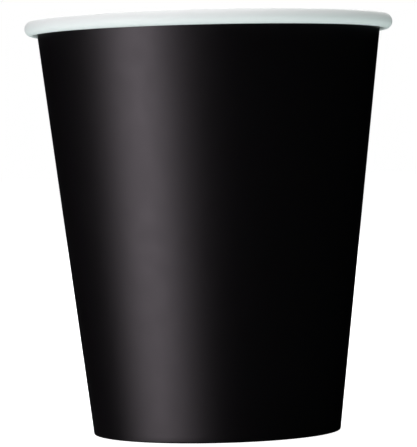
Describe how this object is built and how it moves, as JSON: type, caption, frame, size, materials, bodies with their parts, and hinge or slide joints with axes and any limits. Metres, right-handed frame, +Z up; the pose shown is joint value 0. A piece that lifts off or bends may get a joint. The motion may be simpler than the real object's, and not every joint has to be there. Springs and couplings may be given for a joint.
{
  "type": "tapered paper cup",
  "caption": "Tapered flat-bottomed paper drinking cup, black outside and white inside, with a rolled rim, a lapped side seam and a recessed bottom disc.",
  "frame": {"origin": "on the cup's axis, in the plane that the hem stands on", "axes": "+Z up along the cup's axis to the rim; the side seam faces +Y"},
  "size_m": [0.08, 0.08, 0.09],
  "materials": {
    "printed_board": "satin",
    "white_board": "satin"
  },
  "bodies": {
    "root": {"side_wall": "printed_board", "bottom": "white_board"}
  },
  "joints": []
}
